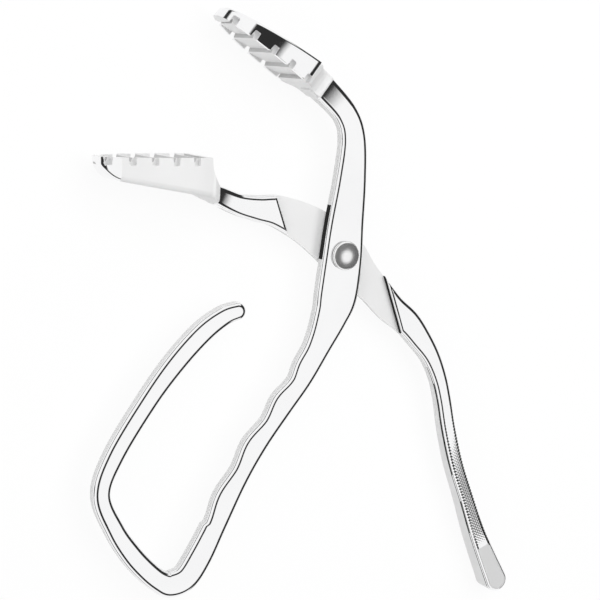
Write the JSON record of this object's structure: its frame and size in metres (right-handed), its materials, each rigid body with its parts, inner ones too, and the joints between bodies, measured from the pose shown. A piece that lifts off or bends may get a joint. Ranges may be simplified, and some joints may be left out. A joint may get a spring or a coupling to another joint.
{
  "type": "lobster cracker",
  "caption": "Pivoted cast-metal cracker with broad toothed jaws, a scalloped grip with an open finger guard and a tapered handle, for cracking lobster and crab claws.",
  "frame": {"origin": "the middle of the rivet's flat tail, on the rivet's axis", "axes": "+Z along the rivet towards its domed head, +X towards the handle's side, +Y towards the jaws; the object lies on its back"},
  "size_m": [0.1577, 0.1935, 0.0232],
  "materials": {
    "chrome": "polished"
  },
  "bodies": {
    "front": {"front_lever": "chrome", "pivot_rivet": "chrome"},
    "rear": {"rear_lever": "chrome"}
  },
  "joints": [
    {"name": "squeeze", "type": "hinge", "parent": "front", "child": "rear", "pos_m": [0, 0, 0.0048], "axis": [0, 0, -1], "range_deg": [-4, 36]}
  ]
}
